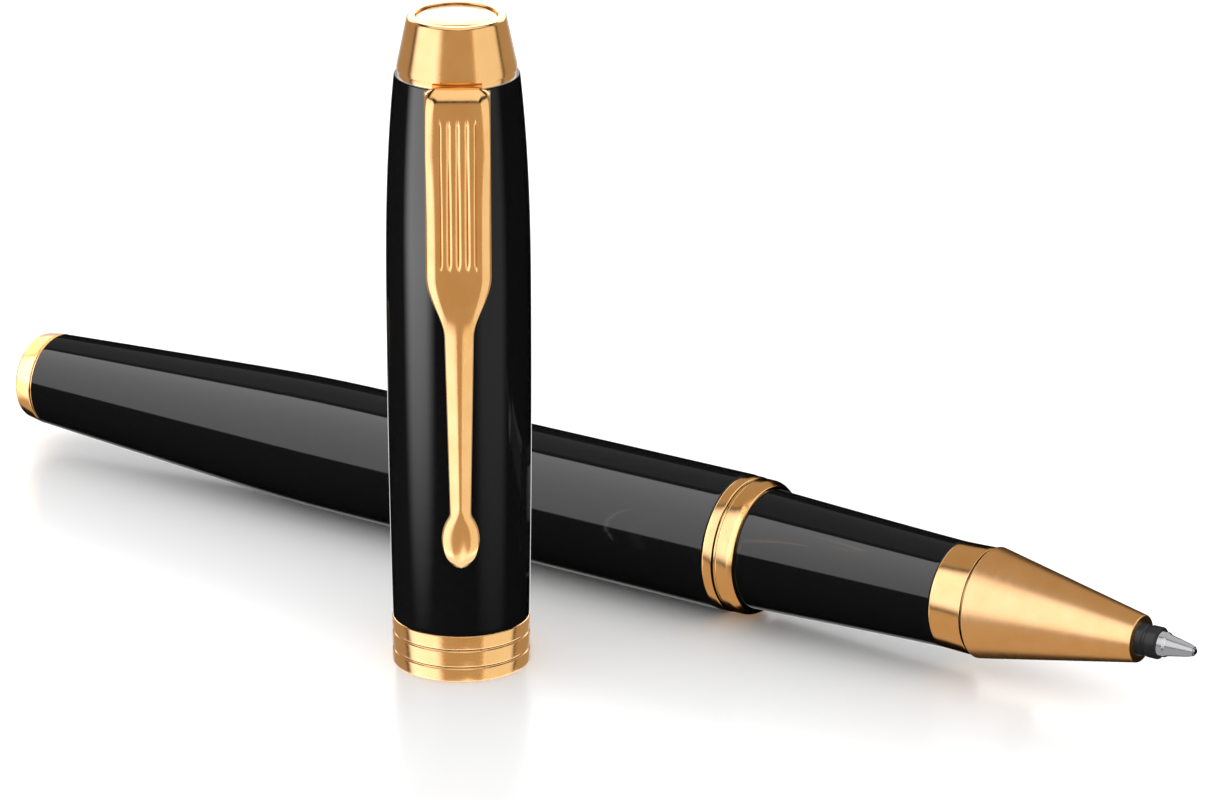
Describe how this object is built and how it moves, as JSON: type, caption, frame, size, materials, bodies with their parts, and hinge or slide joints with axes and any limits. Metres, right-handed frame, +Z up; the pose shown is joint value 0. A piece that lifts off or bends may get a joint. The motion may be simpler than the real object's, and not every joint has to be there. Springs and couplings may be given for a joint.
{
  "type": "rollerball pen",
  "caption": "Rollerball pen in black lacquer with gold trim, lying uncapped beside its standing clip cap; screw-off section, sprung refill, rolling ball.",
  "frame": {"origin": "bottom centre of the whole arrangement's bounding box, on the surface that the pen and the cap stand on", "axes": "+X along the lying pen towards its writing tip, +Z up along the standing cap, cap on the -Y side"},
  "size_m": [0.1244, 0.0376, 0.0581],
  "materials": {
    "black_lacquer": "deep gloss black lacquer over thin metal tube",
    "polished_gold": "polished gold plate",
    "satin_gold": "satin gold plate",
    "thread_brass": "bare machined brass",
    "steel": "bright turned steel",
    "carbide": "polished carbide",
    "refill_metal": "drawn tube, satin",
    "black_plastic": "moulded, semi-gloss",
    "liner_plastic": "moulded, matt",
    "ink_fibre": "bonded fibre soaked in ink"
  },
  "bodies": {
    "barrel": {"barrel_tube": "black_lacquer", "barrel_bush": "thread_brass", "tail_ring": "polished_gold", "tail_plug": "black_lacquer", "spring_seat": "thread_brass", "tail_spring": "steel"},
    "centre_ring": {"centre_ring": "polished_gold"},
    "section": {"section_tube": "black_lacquer", "section_coupler": "thread_brass", "nose_collar": "polished_gold", "nose_cone": "satin_gold"},
    "refill": {"refill_tube": "refill_metal", "refill_end_plug": "black_plastic", "ink_reservoir": "ink_fibre", "ink_feed": "ink_fibre", "refill_nose": "black_plastic", "refill_collar": "black_plastic", "refill_tip": "steel"},
    "ball": {"refill_ball": "carbide"},
    "cap": {"cap_tube": "black_lacquer", "cap_band": "polished_gold", "inner_cap": "liner_plastic", "clutch_ring": "steel", "cap_screw": "steel", "clip_washer": "polished_gold", "cap_crown": "polished_gold", "crown_disc": "polished_gold"},
    "clip": {"clip": "polished_gold"}
  },
  "joints": [
    {"name": "cap_lift", "type": "slide", "parent": "barrel", "child": "cap", "axis": [0, 0, 1], "range_m": [0, 0.07]},
    {"name": "clip_flex", "type": "hinge", "parent": "cap", "child": "clip", "pos_m": [0.00594, -0.01542, 0.05315], "axis": [-0.8171, -0.5764, 0], "range_deg": [0, 5], "stiffness_Nm_per_rad": 0.1, "springref_deg": -2.86},
    {"name": "section_out", "type": "slide", "parent": "barrel", "child": "centre_ring", "axis": [1, 0, 0], "range_m": [0, 0.006]},
    {"name": "section_turn", "type": "hinge", "parent": "centre_ring", "child": "section", "pos_m": [0.01615, 0.01262, 0.00614], "axis": [1, 0, 0], "range_deg": [0, 2880.1]},
    {"name": "refill_slide", "type": "slide", "parent": "section", "child": "refill", "axis": [1, 0, 0], "range_m": [-0.001, 0], "stiffness_N_per_m": 200, "springref_m": 0.003, "deforming": ["tail_spring"]},
    {"name": "ball_roll", "type": "hinge", "parent": "refill", "child": "ball", "pos_m": [0.0618, 0.01262, 0.00614], "axis": [0, 1, 0], "continuous": true}
  ],
  "couplings": [
    {"joint": "section_turn", "follows": "section_out", "rad_per_m": 8377.6}
  ]
}
